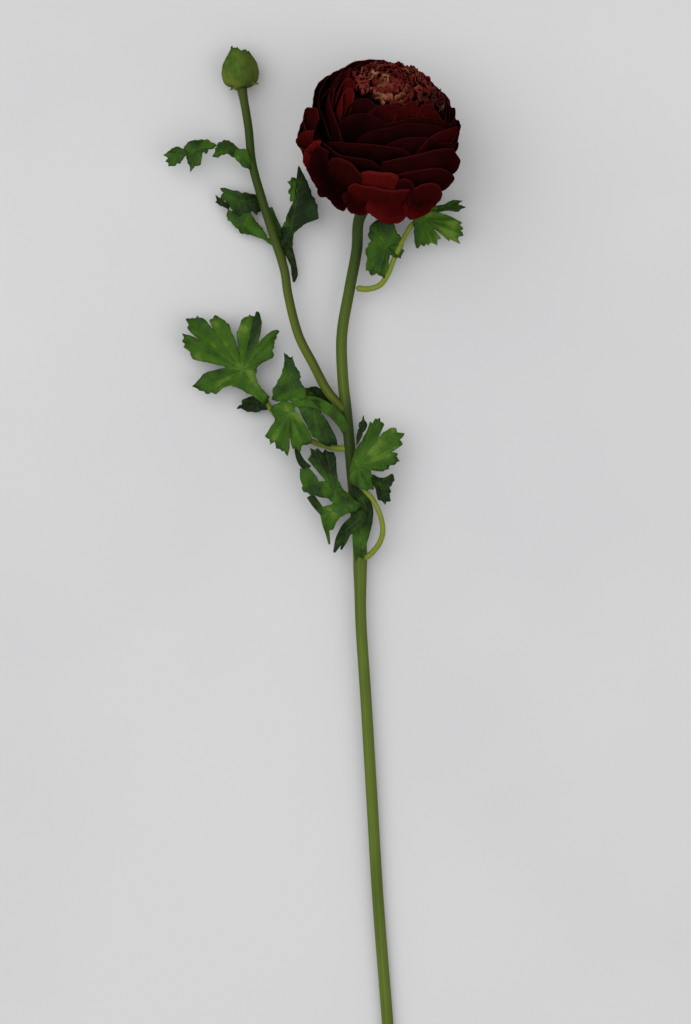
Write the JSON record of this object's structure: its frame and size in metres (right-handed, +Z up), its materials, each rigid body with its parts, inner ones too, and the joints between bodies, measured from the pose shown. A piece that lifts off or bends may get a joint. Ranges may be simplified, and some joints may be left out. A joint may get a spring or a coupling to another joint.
{
  "type": "persian buttercup flower",
  "caption": "Cut double buttercup lying on its side: dark layered bloom with a frilly heart, a side bud on a curved branch, and lobed toothed leaves.",
  "frame": {"origin": "middle of the small flat spot under the bloom, where it rests on the surface", "axes": "+Z up from the surface the flower lies on, +Y along the stem from its cut end to the bloom, +X away from the side branch"},
  "size_m": [0.141, 0.4769, 0.0678],
  "materials": {
    "stem": "smooth green stem skin with a faint sheen, olive with a browner side",
    "leaf": "soft leaf surface, mid green with paler veins",
    "petal": "velvety dark burgundy petals, redder where they face the light",
    "heart": "frilly red scales with golden and green tips",
    "bud": "matt fresh green sepals with yellower patches"
  },
  "bodies": {
    "root": {"main_stem": "stem", "bud_branch": "stem", "bloom_calyx": "bud", "bloom_petals": "petal", "bloom_heart": "heart", "flower_bud": "bud", "bud_leaf": "leaf", "branch_leaf_left": "leaf", "branch_leaf_right": "leaf", "bloom_leaf": "leaf", "left_leaf": "leaf", "middle_leaf": "leaf", "right_leaf": "leaf", "lower_leaves": "leaf"}
  },
  "joints": []
}
